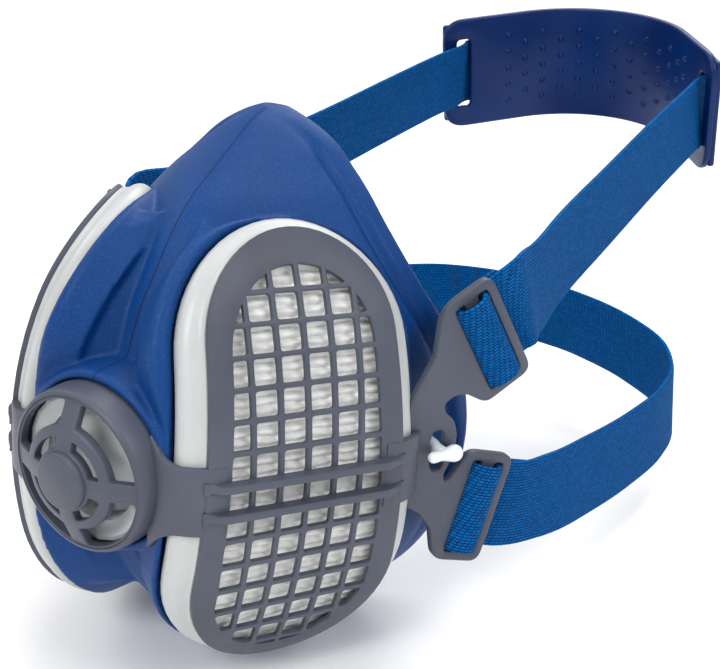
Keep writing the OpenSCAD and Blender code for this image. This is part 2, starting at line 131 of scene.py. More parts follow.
FILTER_FRAME = (Matrix.Translation(FILTER_ORIGIN) @ turn(FILTER_TURN, "Z") @ turn(90 - FILTER_TIP, "X")
                @ turn(FILTER_ROLL, "Z"))
PLATE_FRAME = Matrix.Translation(PLATE_ORIGIN) @ turn(FILTER_TURN, "Z") @ turn(90, "X")
CRADLE_FRAME = Matrix.Translation((0, CRADLE_BACK, CRADLE_Z)) @ turn(CRADLE_TILT, "X")


def bent(depth, y):
    """Height of the bent filter's surface at a depth below its outer face."""
    return math.sqrt((BEND_R - depth) ** 2 - y * y) - BEND_R


def on_filter(x, y, depth):
    """x and y lie on the filter's outer face and depth runs towards the bend's axis."""
    low = y * (1 - depth / BEND_R)
    return FILTER_FRAME @ Vector((x, low, bent(depth, low)))


def on_filter_flat(x, y, z):
    return FILTER_FRAME @ Vector((x, y, z))


def on_plate(x, y, depth):
    return PLATE_FRAME @ Vector((x, y, -depth))


def bar_point(bar, across, along):
    """A place on the plate, measured from a strap bar and along it."""
    tilt = math.radians(bar[2])
    return (bar[0] + across * math.cos(tilt) - along * math.sin(tilt),
            bar[1] + across * math.sin(tilt) + along * math.cos(tilt))


def on_bar(bar, across, along, depth):
    return on_plate(*bar_point(bar, across, along), depth)


def dome(r):
    """Distance of the valve cover's front in front of the origin."""
    return 80.2 - 5.2 * (r / 16.8) ** 1.7


def on_valve(x, z, depth):
    return Vector((x, depth - dome(math.hypot(x, z)), z))


def forward(x, z, y):
    """A place on the valve at a distance y in front of the origin."""
    return (x, -y, z)


def on_cradle(along, z, depth):
    """An arc with straight ends: a way along its inner face, up, and outwards from that face."""
    most = math.radians(CRADLE_TURN)
    angle = min(abs(along) / CRADLE_R, most)
    rest = max(0, abs(along) - CRADLE_R * most)
    x = (CRADLE_R + depth) * math.sin(angle) + rest * math.cos(angle)
    y = (CRADLE_R + depth) * math.cos(angle) - CRADLE_R - rest * math.sin(angle)
    return CRADLE_FRAME @ Vector((math.copysign(x, along), y, z))


def on_cradle_back(along, z, depth):
    """The same, measured from the cradle's outer face and a little sunk into it."""
    return on_cradle(along, z, depth + CRADLE_T - 0.4)


# ---- Outlines ----

def arc(cx, cy, r, start, end, steps):
    angles = [math.radians(start + (end - start) * i / steps) for i in range(steps + 1)]
    return [(cx + r * math.cos(a), cy + r * math.sin(a)) for a in angles]


def egg(grow, steps=28, rows=12):
    """The filter's outline moved outwards: two arcs and the straight sides between them."""
    top, bottom = TOP_R + grow, BOTTOM_R + grow
    pull = END_PULL * max(0, grow)
    lean = math.degrees(math.asin((bottom - top) / (TOP_Y - BOTTOM_Y - 2 * pull)))
    upper = arc(0, TOP_Y - pull, top, lean, 180 - lean, steps)
    lower = arc(0, BOTTOM_Y + pull, bottom, 180 - lean, 360 + lean, steps)
    return upper + between(upper[-1], lower[0], rows) + lower + between(lower[-1], upper[0], rows)


def egg_half_width(y, grow):
    """Half width of the egg outline at a height."""
    widths = []
    pull = END_PULL * max(0, grow)
    top, bottom = TOP_Y - pull, BOTTOM_Y + pull
    for r, centre in ((TOP_R + grow, top), (BOTTOM_R + grow, bottom)):
        if abs(y - centre) < r:
            widths.append(math.sqrt(r * r - (y - centre) ** 2))
    if bottom < y < top:
        widths.append(BOTTOM_R + grow + (TOP_R - BOTTOM_R) * (y - bottom) / (top - bottom))
    return max(widths, default=0)


def between(a, b, count):
    return [(a[0] + (b[0] - a[0]) * i / count, a[1] + (b[1] - a[1]) * i / count) for i in range(1, count)]


def ring_outline(r, steps=72):
    return arc(0, 0, r, 0, 360 - 360 / steps, steps - 1)


def box_outline(x0, y0, x1, y1):
    return [(x0, y0), (x1, y0), (x1, y1), (x0, y1)]


def area(points):
    return sum(a[0] * b[1] - b[0] * a[1] for a, b in zip(points, points[1:] + points[:1])) / 2


def clipped(points, window):
    """The part of a convex outline inside a convex, counter-clockwise window."""
    for a, b in zip(window, window[1:] + window[:1]):
        inside = [(b[0] - a[0]) * (p[1] - a[1]) - (b[1] - a[1]) * (p[0] - a[0]) for p in points]
        kept = []
        for i, p in enumerate(points):
            j = (i + 1) % len(points)
            if inside[i] >= 0:
                kept.append(p)
            if inside[i] * inside[j] < 0:
                share = inside[i] / (inside[i] - inside[j])
                kept.append((p[0] + share * (points[j][0] - p[0]), p[1] + share * (points[j][1] - p[1])))
        points = kept
        if not points:
            return []
    return points


def rounded(points, radius, steps=4):
    """Rounds every real corner. radius is one number, or one for each point."""
    result = []
    for i, p in enumerate(points):
        r = radius if isinstance(radius, (int, float)) else radius[i]
        p, a, b = Vector(p), Vector(points[i - 1]), Vector(points[(i + 1) % len(points)])
        to_a, to_b = a - p, b - p
        if to_a.length < 1e-6 or to_b.length < 1e-6:
            continue
        if (math.pi - to_a.angle(to_b)) < math.radians(25):
            result.append(tuple(p))
            continue
        cut = min(r, 0.45 * to_a.length, 0.45 * to_b.length)
        start, end = p + to_a.normalized() * cut, p + to_b.normalized() * cut
        for k in range(steps + 1):
            t = k / steps
            result.append(tuple(start * (1 - t) ** 2 + p * 2 * t * (1 - t) + end * t * t))
    return result


def moved(points, shift):
    """Each point of a closed outline moved outwards by shift, or inwards where it is negative."""
    result = []
    for i, p in enumerate(points):
        a, b = Vector(points[i - 1]), Vector(points[(i + 1) % len(points)])
        before, after = (Vector(p) - a).normalized(), (b - Vector(p)).normalized()
        normal = Vector((before.y + after.y, -before.x - after.x))
        length = max(normal.length, 0.4)
        normal = normal / length
        reach = shift * min(2 / length, 1.6)
        result.append((p[0] + normal.x * reach, p[1] + normal.y * reach))
    return result


def spline(keys, samples):
    """A smooth curve through keys, with that many samples from each key to the next."""
    keys = np.array(keys, float)
    gaps = np.maximum(np.linalg.norm(np.diff(keys, axis=0), axis=1), 1e-6)
    slopes = np.diff(keys, axis=0) / gaps[:, None]
    tangents = np.empty_like(keys)
    tangents[0], tangents[-1] = slopes[0], slopes[-1]
    share = (gaps[1:] / (gaps[1:] + gaps[:-1]))[:, None]
    tangents[1:-1] = slopes[:-1] * share + slopes[1:] * (1 - share)
    points = []
    for i, gap in enumerate(gaps):
        for t in np.arange(samples) / samples:
            h = (2 * t**3 - 3 * t**2 + 1, t**3 - 2 * t**2 + t, 3 * t**2 - 2 * t**3, t**3 - t**2)
            points.append(h[0] * keys[i] + h[1] * gap * tangents[i] + h[2] * keys[i + 1]
                          + h[3] * gap * tangents[i + 1])
    return np.array(points + [keys[-1]])


# ---- Meshes ----

class Shell:
    """Points and faces of one piece, gathered before they become a mesh."""

    def __init__(self):
        self.points = []
        self.faces = []

    def add(self, points, faces):
        start = len(self.points)
        self.points += [tuple(p) for p in points]
        self.faces += [tuple(start + i for i in f) for f in faces]

    def loft(self, rings, loop=False, caps=False):
        """Faces between closed rings. loop joins the last ring to the first, caps closes the two ends."""
        n, count = len(rings[0]), len(rings)
        starts = [(k * n, (k + 1) % count * n) for k in range(count if loop else count - 1)]
        faces = [(a + i, a + (i + 1) % n, b + (i + 1) % n, b + i) for a, b in starts for i in range(n)]
        if caps:
            faces += [tuple(range(n - 1, -1, -1)), tuple((count - 1) * n + i for i in range(n))]
        self.add([p for ring in rings for p in ring], faces)

    def plate(self, outline, holes, thickness, edge, place):
        """A plate with holes and rounded edges, put in space by place(x, y, depth)."""
        holes = [h if area(h) > 0 else h[::-1] for h in holes]
        angles = (0, math.pi / 6, math.pi / 3, math.pi / 2)
        steps = [(edge * (1 - math.sin(a)), edge * (1 - math.cos(a))) for a in angles]
        levels = steps + [(inset, thickness - depth) for inset, depth in steps[::-1]]
        for loop, sign in [(outline, -1)] + [(h, 1) for h in holes]:
            rings = [[place(x, y, depth) for x, y in moved(loop, sign * inset)] for inset, depth in levels]
            self.loft(rings if sign < 0 else [r[::-1] for r in rings])
        for depth, flip in ((0, False), (thickness, True)):
            points, faces = region(moved(outline, -edge), [moved(h, edge) for h in holes])
            self.add([place(x, y, depth) for x, y in points], [f[::-1] if flip else f for f in faces])

    def lathe(self, profile, place, steps=72):
        """A closed profile of (radius, height) turned round an axis."""
        rings = [[place(r * math.cos(a), r * math.sin(a), h) for r, h in profile]
                 for a in (2 * math.pi * i / steps for i in range(steps))]
        self.loft(rings, loop=True)

    def mirrored(self):
        """Adds the other side's copy of everything so far."""
        self.add([(-x, y, z) for x, y, z in self.points], [f[::-1] for f in self.faces])

    def make(self, name, side="left", sharp=38):
        sign = SIDES[side]
        mesh = bpy.data.meshes.new(name)
        mesh.from_pydata([(sign * x * MM, y * MM, z * MM) for x, y, z in self.points], [],
                         [f if sign > 0 else f[::-1] for f in self.faces])
        obj = bpy.data.objects.new(name, mesh)
        bpy.context.scene.collection.objects.link(obj)
        weld(obj)
        mesh.shade_smooth()
        mesh.set_sharp_from_angle(angle=math.radians(sharp))
        return obj


def region(outline, holes):
    """Triangles that fill an outline around its holes."""
    loops = [outline] + holes
    points = [Vector(p) for loop in loops for p in loop]
    starts = np.cumsum([0] + [len(loop) for loop in loops])
    faces = [list(range(starts[i], starts[i + 1])) for i in range(len(loops))]
    points, _, found, _, _, origin = delaunay_2d_cdt(points, [], faces, 1, 1e-5)
    kept = [tuple(f) for f, source in zip(found, origin) if list(source) == [0]]
    return [tuple(p) for p in points], kept


def weld(obj):
    """Joins points that lie on each other and turns every face outwards."""
    work = bmesh.new()
    work.from_mesh(obj.data)
    bmesh.ops.remove_doubles(work, verts=work.verts, dist=WELD_REACH)
    bmesh.ops.recalc_face_normals(work, faces=work.faces)
    work.to_mesh(obj.data)
    work.free()


def settle(obj):
    """Applies every modifier."""
    bpy.context.view_layer.update()
    graph = bpy.context.evaluated_depsgraph_get()
    mesh = bpy.data.meshes.new_from_object(obj.evaluated_get(graph))
    obj.modifiers.clear()
    obj.data = mesh


def combine(obj, tool, operation):
    step = obj.modifiers.new(operation, "BOOLEAN")
    step.object = tool
    step.operation = operation
    step.solver = "MANIFOLD"
    settle(obj)
    bpy.data.objects.remove(tool)


def finish_piece(obj, slot, body, nodes):
    """Gives a piece its material, the body it rides on and the CAD nodes it stands for."""
    obj.data.materials.clear()
    obj.data.materials.append(MATERIALS[slot])
    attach(obj, body)
    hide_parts(*nodes)


# ---- Materials ----

def linear(r, g, b):
    def channel(c):
        c = c / 255
        return c / 12.92 if c <= 0.04045 else ((c + 0.055) / 1.055) ** 2.4
    return (channel(r), channel(g), channel(b), 1)


class Paint:
    """A material's node tree, with short ways to add the nodes that every finish here uses."""

    def __init__(self, name, **sockets):
        self.material = bpy.data.materials.new(name)
        self.material.use_nodes = True
        self.tree = self.material.node_tree
        self.shader = self.tree.nodes["Principled BSDF"]
        for socket, value in sockets.items():
            self.shader.inputs[socket.replace("_", " ")].default_value = value
        self.place = self.add("ShaderNodeTexCoord").outputs["Object"]

    def add(self, kind, **settings):
        node = self.tree.nodes.new(kind)
        for name, value in settings.items():
            setattr(node, name, value)
        return node

    def link(self, source, target):
        self.tree.links.new(source, target)

    def noise(self, size, detail, stretch=None):
        """Noise with features of that size in millimetres."""
        node = self.add("ShaderNodeTexNoise")
        node.inputs["Scale"].default_value = 1 / (size * MM)
        node.inputs["Detail"].default_value = detail
        self.link(self.mapped(stretch) if stretch else self.place, node.inputs["Vector"])
        return node.outputs["Fac"]

    def mapped(self, scale):
        node = self.add("ShaderNodeMapping")
        node.inputs["Scale"].default_value = scale
        self.link(self.place, node.inputs["Vector"])
        return node.outputs["Vector"]

    def ramp(self, value, stops):
        node = self.add("ShaderNodeValToRGB")
        band = node.color_ramp
        for i, (position, color) in enumerate(stops):
            stop = band.elements[i] if i < 2 else band.elements.new(position)
            stop.position, stop.color = position, color
        self.link(value, node.inputs["Fac"])
        return node.outputs["Color"]

    def scaled(self, value, low, high, start, end):
        node = self.add("ShaderNodeMapRange")
        for name, number in (("From Min", start), ("From Max", end), ("To Min", low), ("To Max", high)):
            node.inputs[name].default_value = number
        self.link(value, node.inputs["Value"])
        return node.outputs["Result"]

    def mix(self, a, b, share):
        node = self.add("ShaderNodeMix", data_type="RGBA")
        colors = [s for s in node.inputs if s.type == "RGBA"]
        for source, socket in ((a, colors[0]), (b, colors[1])):
            if isinstance(source, tuple):
                socket.default_value = source
            else:
                self.link(source, socket)
        self.link(share, node.inputs["Factor"])
        return [s for s in node.outputs if s.type == "RGBA"][0]

    def math(self, operation, a, b):
        node = self.add("ShaderNodeMath", operation=operation)
        for source, socket in ((a, node.inputs[0]), (b, node.inputs[1])):
            if isinstance(source, (int, float)):
                socket.default_value = source
            else:
                self.link(source, socket)
        return node.outputs["Value"]

    def bump(self, height, depth, strength):
        node = self.add("ShaderNodeBump")
        node.inputs["Strength"].default_value = strength
        node.inputs["Distance"].default_value = depth * MM
        self.link(height, node.inputs["Height"])
        return node.outputs["Normal"]

    def finish(self, color, roughness, normal):
        self.link(color, self.shader.inputs["Base Color"])
        if roughness is not None:
            self.link(roughness, self.shader.inputs["Roughness"])
        self.link(normal, self.shader.inputs["Normal"])
        return self.material


def moulded(name, dark, light, rough, grain, depth, **sockets):
    """Injection-moulded plastic: slow tone drift, fine grain in the gloss and in the surface."""
    paint = Paint(name, **sockets)
    drift = paint.noise(26, 3)
    grain_noise = paint.noise(grain, 3)
    color = paint.ramp(drift, [(0.3, linear(*dark)), (0.7, linear(*light))])
    gloss = paint.scaled(grain_noise, rough - 0.07, rough + 0.07, 0.3, 0.7)
    return paint.finish(color, gloss, paint.bump(grain_noise, depth, 0.6))


def soft_blue():
    """Matt elastomer with a spark-eroded grain, and a thin dark line down the middle that is painted shade
    for the mould line's tiny groove.
    """
    paint = Paint("soft_blue", Sheen_Weight=0.02, Sheen_Roughness=0.35, Specular_IOR_Level=0.2)
    paint.shader.inputs["Sheen Tint"].default_value = linear(150, 190, 255)
    drift = paint.noise(30, 2)
    speck = paint.noise(0.4, 2)
    body = paint.ramp(drift, [(0.3, linear(0, 50, 108)), (0.7, linear(0, 57, 117))])
    body = paint.mix(body, linear(36, 100, 172), paint.scaled(speck, 0.0, 0.26, 0.5, 0.75))
    split = paint.add("ShaderNodeSeparateXYZ")
    paint.link(paint.place, split.inputs["Vector"])
    from_middle = paint.math("ABSOLUTE", split.outputs["X"], 0)
    # A thin dark band either side of x = 0: painted shade standing in for the mould line's groove, which is
    # too fine for the mesh.
    mould_line_shade = paint.scaled(from_middle, 1, 0, 0.00008, 0.00028)
    color = paint.mix(body, linear(2, 26, 70), mould_line_shade)
    grain = paint.noise(0.35, 3)
    gloss = paint.scaled(grain, 0.42, 0.58, 0.3, 0.7)
    return paint.finish(color, gloss, paint.bump(grain, 0.05, 0.6))


def webbing(name, base, light, dark):
    """Woven elastic: slanted stitches in rows, with the gaps between stitches and rows sunk and painted dark
    as their shade. The UV map is in millimetres.
    """
    paint = Paint(name, Roughness=0.8, Sheen_Weight=0.01, Sheen_Roughness=0.5, Specular_IOR_Level=0.07)
    paint.shader.inputs["Sheen Tint"].default_value = linear(110, 175, 235)
    uv = paint.add("ShaderNodeUVMap").outputs["UV"]
    split = paint.add("ShaderNodeSeparateXYZ")
    paint.link(uv, split.inputs["Vector"])
    across, along = split.outputs["X"], split.outputs["Y"]
    slanted = paint.math("ADD", along, paint.math("MULTIPLY", across, 0.55))
    joined = paint.add("ShaderNodeCombineXYZ")
    paint.link(slanted, joined.inputs["X"])
    paint.link(across, joined.inputs["Y"])
    brick = paint.add("ShaderNodeTexBrick", offset=0.5, squash=1.0)
    for socket, value in (("Scale", 1.0), ("Brick Width", 1.25), ("Row Height", 0.72), ("Mortar Size", 0.15),
                          ("Mortar Smooth", 1.0), ("Bias", -0.1)):
        brick.inputs[socket].default_value = value
    brick.inputs["Color1"].default_value = linear(*base)
    brick.inputs["Color2"].default_value = linear(*light)
    # The mortar colour is painted shade in the gaps between stitches; the bump also sinks these gaps.
    brick.inputs["Mortar"].default_value = linear(*dark)
    paint.link(joined.outputs["Vector"], brick.inputs["Vector"])
    fibre = paint.add("ShaderNodeTexNoise")
    fibre.inputs["Scale"].default_value = 5
    fibre.inputs["Detail"].default_value = 3
    paint.link(uv, fibre.inputs["Vector"])
    fluff = paint.scaled(fibre.outputs["Fac"], 0.0, 0.35, 0.5, 0.8)
    color = paint.mix(brick.outputs["Color"], linear(*light), fluff)
    height = paint.math("SUBTRACT", paint.math("MULTIPLY", fibre.outputs["Fac"], 0.4), brick.outputs["Fac"])
    return paint.finish(color, None, paint.bump(height, 0.28, 0.9))


def filter_paper():
    """Fibre sheet: soft mottling and short fibres."""
    paint = Paint("filter_paper", Roughness=0.9, Sheen_Weight=0.1)
    mottle = paint.noise(2.4, 3)
    fibre = paint.noise(0.35, 3, (1, 1, 3.5))
    color = paint.ramp(mottle, [(0.3, linear(226, 226, 224)), (0.65, linear(252, 252, 250))])
    color = paint.mix(color, linear(208, 208, 206), paint.scaled(fibre, 0.0, 0.35, 0.55, 0.8))
    return paint.finish(color, None, paint.bump(fibre, 0.12, 0.7))


def clear_plastic(name, rough, weight, tint):
    """Clear or milky plastic with a faint haze."""
    paint = Paint(name, Transmission_Weight=weight, IOR=1.49)
    haze = paint.noise(9, 2)
    color = paint.ramp(haze, [(0.3, linear(*tint)), (0.7, (1, 1, 1, 1))])
    gloss = paint.scaled(haze, rough, rough + 0.08, 0.3, 0.7)
    return paint.finish(color, gloss, paint.bump(haze, 0.05, 0.4))


MATERIALS = {
    "soft_blue": soft_blue(),
    "grey_plastic": moulded("grey_plastic", (60, 64, 77), (73, 78, 92), 0.45, 0.3, 0.03,
                            Specular_IOR_Level=0.4),
    "white_plastic": moulded("white_plastic", (172, 175, 175), (186, 188, 188), 0.36, 0.5, 0.02,
                             Subsurface_Weight=0.08, Subsurface_Scale=0.002),
    "filter_paper": filter_paper(),
    "clear_plastic": clear_plastic("clear_plastic", 0.06, 0.5, (222, 232, 238)),
    "clear_rubber": clear_plastic("clear_rubber", 0.35, 0.35, (205, 212, 214)),
    "port_plastic": moulded("port_plastic", (112, 116, 126), (128, 132, 142), 0.45, 0.3, 0.03),
    "white_nylon": moulded("white_nylon", (216, 223, 227), (230, 236, 239), 0.3, 0.6, 0.02,
                           Subsurface_Weight=0.15, Subsurface_Scale=0.002),
    "cradle_blue": moulded("cradle_blue", (0, 30, 82), (0, 40, 96), 0.34, 0.4, 0.02, Specular_IOR_Level=0.22),
    # The last colour is painted shade for the gaps between stitches.
    "blue_webbing": webbing("blue_webbing", (0, 80, 145), (3, 97, 166), (0, 20, 60)),
}
for node in frame["record"]["subparts"]:
    look = MATERIALS[node["material_slot"]]
    for place in frame["nodes"][node["node"]].material_slots:
        place.material = look


# ---- Camera, floor and lights ----

AZIMUTH, ELEVATION, ROLL = 32.5, 21.7, 2.25
AIM = Vector((0, 31, -2.5)) * MM
CAMERA_DISTANCE, LENS = 0.35625, 66.24
FLOOR_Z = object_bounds()[0][2] - 0.0005


def add_camera():
    a, e, roll = (math.radians(v) for v in (AZIMUTH, ELEVATION, ROLL))
    back = Vector((math.sin(a) * math.cos(e), -math.cos(a) * math.cos(e), math.sin(e)))
    level = Vector((math.cos(a), math.sin(a), 0))
    rise = back.cross(level)
    right = level * math.cos(roll) + rise * math.sin(roll)
    up = rise * math.cos(roll) - level * math.sin(roll)
    camera = bpy.data.objects.new("camera", bpy.data.cameras.new("camera"))
    camera.data.lens = LENS
    camera.data.clip_start = 0.01
    camera.matrix_world = Matrix.Translation(AIM + back * CAMERA_DISTANCE) @ Matrix(
        (right, up, back)).transposed().to_4x4()
    bpy.context.scene.collection.objects.link(camera)
    bpy.context.scene.camera = camera


def add_floor():
    mesh = bpy.data.meshes.new("floor")
    size = 4
    mesh.from_pydata([(-size, -size, FLOOR_Z), (size, -size, FLOOR_Z), (size, size, FLOOR_Z),
                      (-size, size, FLOOR_Z)], [], [(0, 1, 2, 3)])
    floor = bpy.data.objects.new("floor", mesh)
    bpy.context.scene.collection.objects.link(floor)
    paint = Paint("floor", Roughness=0.9)
    cloud = paint.noise(400, 1)
    color = paint.ramp(cloud, [(0.3, (0.93, 0.93, 0.93, 1)), (0.7, (0.95, 0.95, 0.95, 1))])
    mesh.materials.append(paint.finish(color, None, paint.bump(cloud, 0.01, 0.1)))


def add_light(name, place, size, power):
    light = bpy.data.objects.new(name, bpy.data.lights.new(name, "AREA"))
    light.data.energy = power
    light.data.size = size
    light.location = Vector(place)
    light.rotation_euler = (AIM - light.location).to_track_quat("-Z", "Y").to_euler()
    bpy.context.scene.collection.objects.link(light)


def light_room():
    world = bpy.data.worlds.new("studio")
    world.use_nodes = True
    world.node_tree.nodes["Background"].inputs["Color"].default_value = (1, 1, 1, 1)
    world.node_tree.nodes["Background"].inputs["Strength"].default_value = 0.52
    bpy.context.scene.world = world
    bpy.context.scene.view_settings.view_transform = "Standard"
    add_light("key", (0.05, -1.1, 0.9), 0.5, 9)
    add_light("right", (1.0, -0.1, 0.8), 0.5, 5)
    add_light("left", (-0.9, -0.2, 0.8), 0.5, 2.5)
    add_light("backdrop", (-0.5, 1.9, 1.8), 1.5, 30)
    add_light("top", (0, 0.1, 1.1), 0.7, 5)


add_camera()
add_floor()
light_room()


# ---- Face piece ----

def curve_point(a, b, c, d, t):
    return a * (1 - t) ** 3 + b * 3 * t * (1 - t) ** 2 + c * 3 * t * t * (1 - t) + d * t**3


def half_outline(section, inner, steps=110):
    """Half a level section, from the middle of the front to the seal: the outside, or the cavity."""
    _, front, width, seal, nose, cheek = section
    shares = np.linspace(0, 1, steps + 1)[:, None]
    if inner:
        keys = ((0, front + WALL), (max(1, nose - WALL / 2), front + WALL), (width - WALL / 2, seal - cheek),
                (width - SEAL_TURN, seal + 1))
        return curve_point(*(np.array(k, float) for k in keys), shares)
    keys = ((0, front), (nose, front), (width, seal - cheek), (width, seal - EDGE_R))
    edge = arc(width - EDGE_R, seal - EDGE_R, EDGE_R, 0, 90, 6)
    return np.vstack([curve_point(*(np.array(k, float) for k in keys), shares), edge[1:]])


def groove(section, half):
    """The narrow valley that runs along the seal, set back from its edge."""
    z = section[0]
    above_chin, below_nose = np.clip((z + 40) / 25, 0, 1), np.clip((65 - z) / 9, 0, 1)
    steps = np.linalg.norm(np.diff(half, axis=0), axis=1)
    from_edge = np.append(np.cumsum(steps[::-1])[::-1], 0)
    slope = np.gradient(half, axis=0)
    length = np.maximum(np.linalg.norm(slope, axis=1), 1e-6)
    inward = np.stack([-slope[:, 1], slope[:, 0]], 1) / length[:, None]
    valley = np.exp(-(((from_edge - GROOVE_PLACE) / GROOVE_W) ** 2))
    depth = GROOVE_DEPTH * (above_chin * below_nose) * valley
    return half + inward * depth[:, None]


def section_ring(section, inner):
    half = half_outline(section, inner)
    if not inner:
        half = groove(section, half)
    ring = [(-x, y) for x, y in half[:0:-1]] + [(x, y) for x, y in half]
    return [(x, y, section[0]) for x, y in ring]


def section_body(name, inner):
    sections = [s for s in spline(SECTIONS, 5) if not inner or CAVITY_LOW < s[0] < CAVITY_HIGH]
    shell = Shell()
    shell.loft([section_ring(s, inner) for s in sections], caps=True)
    return shell.make(name)


def egg_ring(grow, depth):
    return [on_filter(x, y, depth) for x, y in egg(grow)]


def egg_block(name, side, levels):
    """A solid through egg outlines, given as (growth, depth) from the outside in."""
    shell = Shell()
    shell.loft([egg_ring(grow, depth) for grow, depth in levels])
    for (grow, depth), flip in ((levels[0], False), (levels[-1], True)):
        points, faces = region(egg(grow), [])
        shell.add([on_filter(x, y, depth) for x, y in points], [f[::-1] if flip else f for f in faces])
    return shell.make(name, side)


def valve_block(name, levels):
    """A round solid on the valve's axis, given as (radius, distance in front of the origin)."""
    shell = Shell()
    shell.loft([[(x, -y, z) for x, z in ring_outline(r)] for r, y in levels], caps=True)
    return shell.make(name)


def port_hole(side):
    shell = Shell()
    shell.loft([[on_filter_flat(x, y, z) for x, y in ring_outline(PORT_HOLE_R)] for z in (0, -60)], caps=True)
    return shell.make("port_hole", side)


def eased(share):
    share = min(1, max(0, share))
    return share * share * (3 - 2 * share)


def lip_share(x, y):
    """How far a socket's rim has widened into a lip, which it does towards the nose on the inner side."""
    return eased((y - 10) / 20) * eased((60 - y) / 10) * eased((4 - x) / 16)


def collar_ring(grow, depth, part=1):
    """The egg outline with so much of the lip added where there is one."""
    narrow, wide = egg(grow), egg(grow + LIP)
    ring = []
    for a, b in zip(narrow, wide):
        share = lip_share(*a)
        x, y = (p + (q - p) * share * part for p, q in zip(a, b))
        ring.append(on_filter(x, y, depth + 1 - share))
    return ring


def collar(side):
    """The raised rim round a filter's socket, from its inner edge over the crest to the outside."""
    shell = Shell()
    shell.loft([collar_ring(COLLAR - 1.4, 6.4, 0), collar_ring(COLLAR - 1, 5.6, 0.2),
                collar_ring(COLLAR - 0.5, 5.3, 0.5), collar_ring(COLLAR, 6, 0.9),
                collar_ring(COLLAR, 7, 1.05), collar_ring(COLLAR, FLOOR_DEPTH + 3)], caps=True)
    return shell.make("collar", side)


def flank(side):
    """The flat flank from the narrow front ridge out to the rim of a filter's socket."""
    heights, fronts = [s[0] for s in SECTIONS], [s[1] for s in SECTIONS]
    rings = []
    for y in np.linspace(-42, 54.5, 64):
        half = egg_half_width(y, COLLAR + LIP * lip_share(-30, y))
        fade = max(0, -37 - y) ** 2 / 5
        rim = on_filter(0.2 - half, y, 7.2 + fade)
        root = on_filter(COLLAR + 1 - half, y, 16.5 + fade)
        ridge = 2.8 + max(0, rim.z - 20) * 0.1
        front = np.interp(rim.z, heights, fronts) + fade
        rings.append([(ridge, front, rim.z), (ridge, front + 2.4, rim.z), root, rim])
    shell = Shell()
    shell.loft(rings, caps=True)
    return shell.make("flank", side)


def face_piece():
    """One moulding: hull, flat flanks, cavity, sockets and valve boss, joined and then softened."""
    piece = section_body("face_piece_looks", False)
    for side in SIDES:
        combine(piece, flank(side), "UNION")
    combine(piece, section_body("cavity", True), "DIFFERENCE")
    for side in SIDES:
        combine(piece, collar(side), "UNION")
    combine(piece, valve_block("boss", [(20.6, 57), (20.4, 68.4), (19.6, 69.4)]), "UNION")
    combine(piece, valve_block("cover_space", [(18.5, 64.5), (18.5, 90)]), "DIFFERENCE")
    for side in SIDES:
        combine(piece, egg_block("clearance", side, [(5.6, -12), (5.6, 6.8), (4.3, 8.1), (4.3, FLOOR_DEPTH)]),
                "DIFFERENCE")
        combine(piece, port_hole(side), "DIFFERENCE")
    combine(piece, valve_block("valve_hole", [(13.6, 40), (13.6, 70)]), "DIFFERENCE")
    remesh = piece.modifiers.new("remesh", "REMESH")
    remesh.mode = "VOXEL"
    remesh.voxel_size = VOXEL * MM
    smooth = piece.modifiers.new("smooth", "SMOOTH")
    smooth.factor = 0.5
    smooth.iterations = 7
    settle(piece)
    piece.data.shade_smooth()
    finish_piece(piece, "soft_blue", "mask", ["face_piece"])


# ---- Filters ----

def grille_cells():
    opening = [(x, y - 1.6) for x, y in egg(-5.2)]
    cells = []
    for row in range(-7, 8):
        low = BEND_R * math.sin(((row - 0.5) * CELL_H + BAR / 2) / BEND_R)
        high = BEND_R * math.sin(((row + 0.5) * CELL_H - BAR / 2) / BEND_R)
        for column in range(-3, 3):
            left = column * CELL_W + BAR / 2
            cell = clipped(box_outline(left, low, left + CELL_W - BAR, high), opening)
            if len(cell) > 2 and area(cell) > 1.6:
                cells.append(rounded(cell, 0.65))
    return cells


def filter_cover(side):
    shell = Shell()
    shell.plate(egg(0), grille_cells(), COVER_T, 0.15, on_filter)
    piece = shell.make(f"{side}_filter_cover_looks", side)
    finish_piece(piece, "grey_plastic", "mask", [f"{side}_filter_cover"])


def filter_case(side):
    """The white case round the media, as a profile of (growth, depth) with a rim that stands out."""
    profile = [(-1.4, 1.3), (0.2, 1.3), (0.5, 1.9), (1.3, 2.4), (2.6, 2.8), (3.8, 3.5), (4.6, 4.4),
               (4.9, 5.4), (4.9, 6.4), (4.7, 6.7), (4.1, 6.8), (3.8, 7.4), (3.8, CASE_BACK),
               (-1.4, CASE_BACK)]
    shell = Shell()
    shell.loft([egg_ring(grow, depth) for grow, depth in profile], loop=True)
    piece = shell.make(f"{side}_filter_case_looks", side, sharp=50)
    finish_piece(piece, "white_plastic", "mask", [f"{side}_filter_case"])


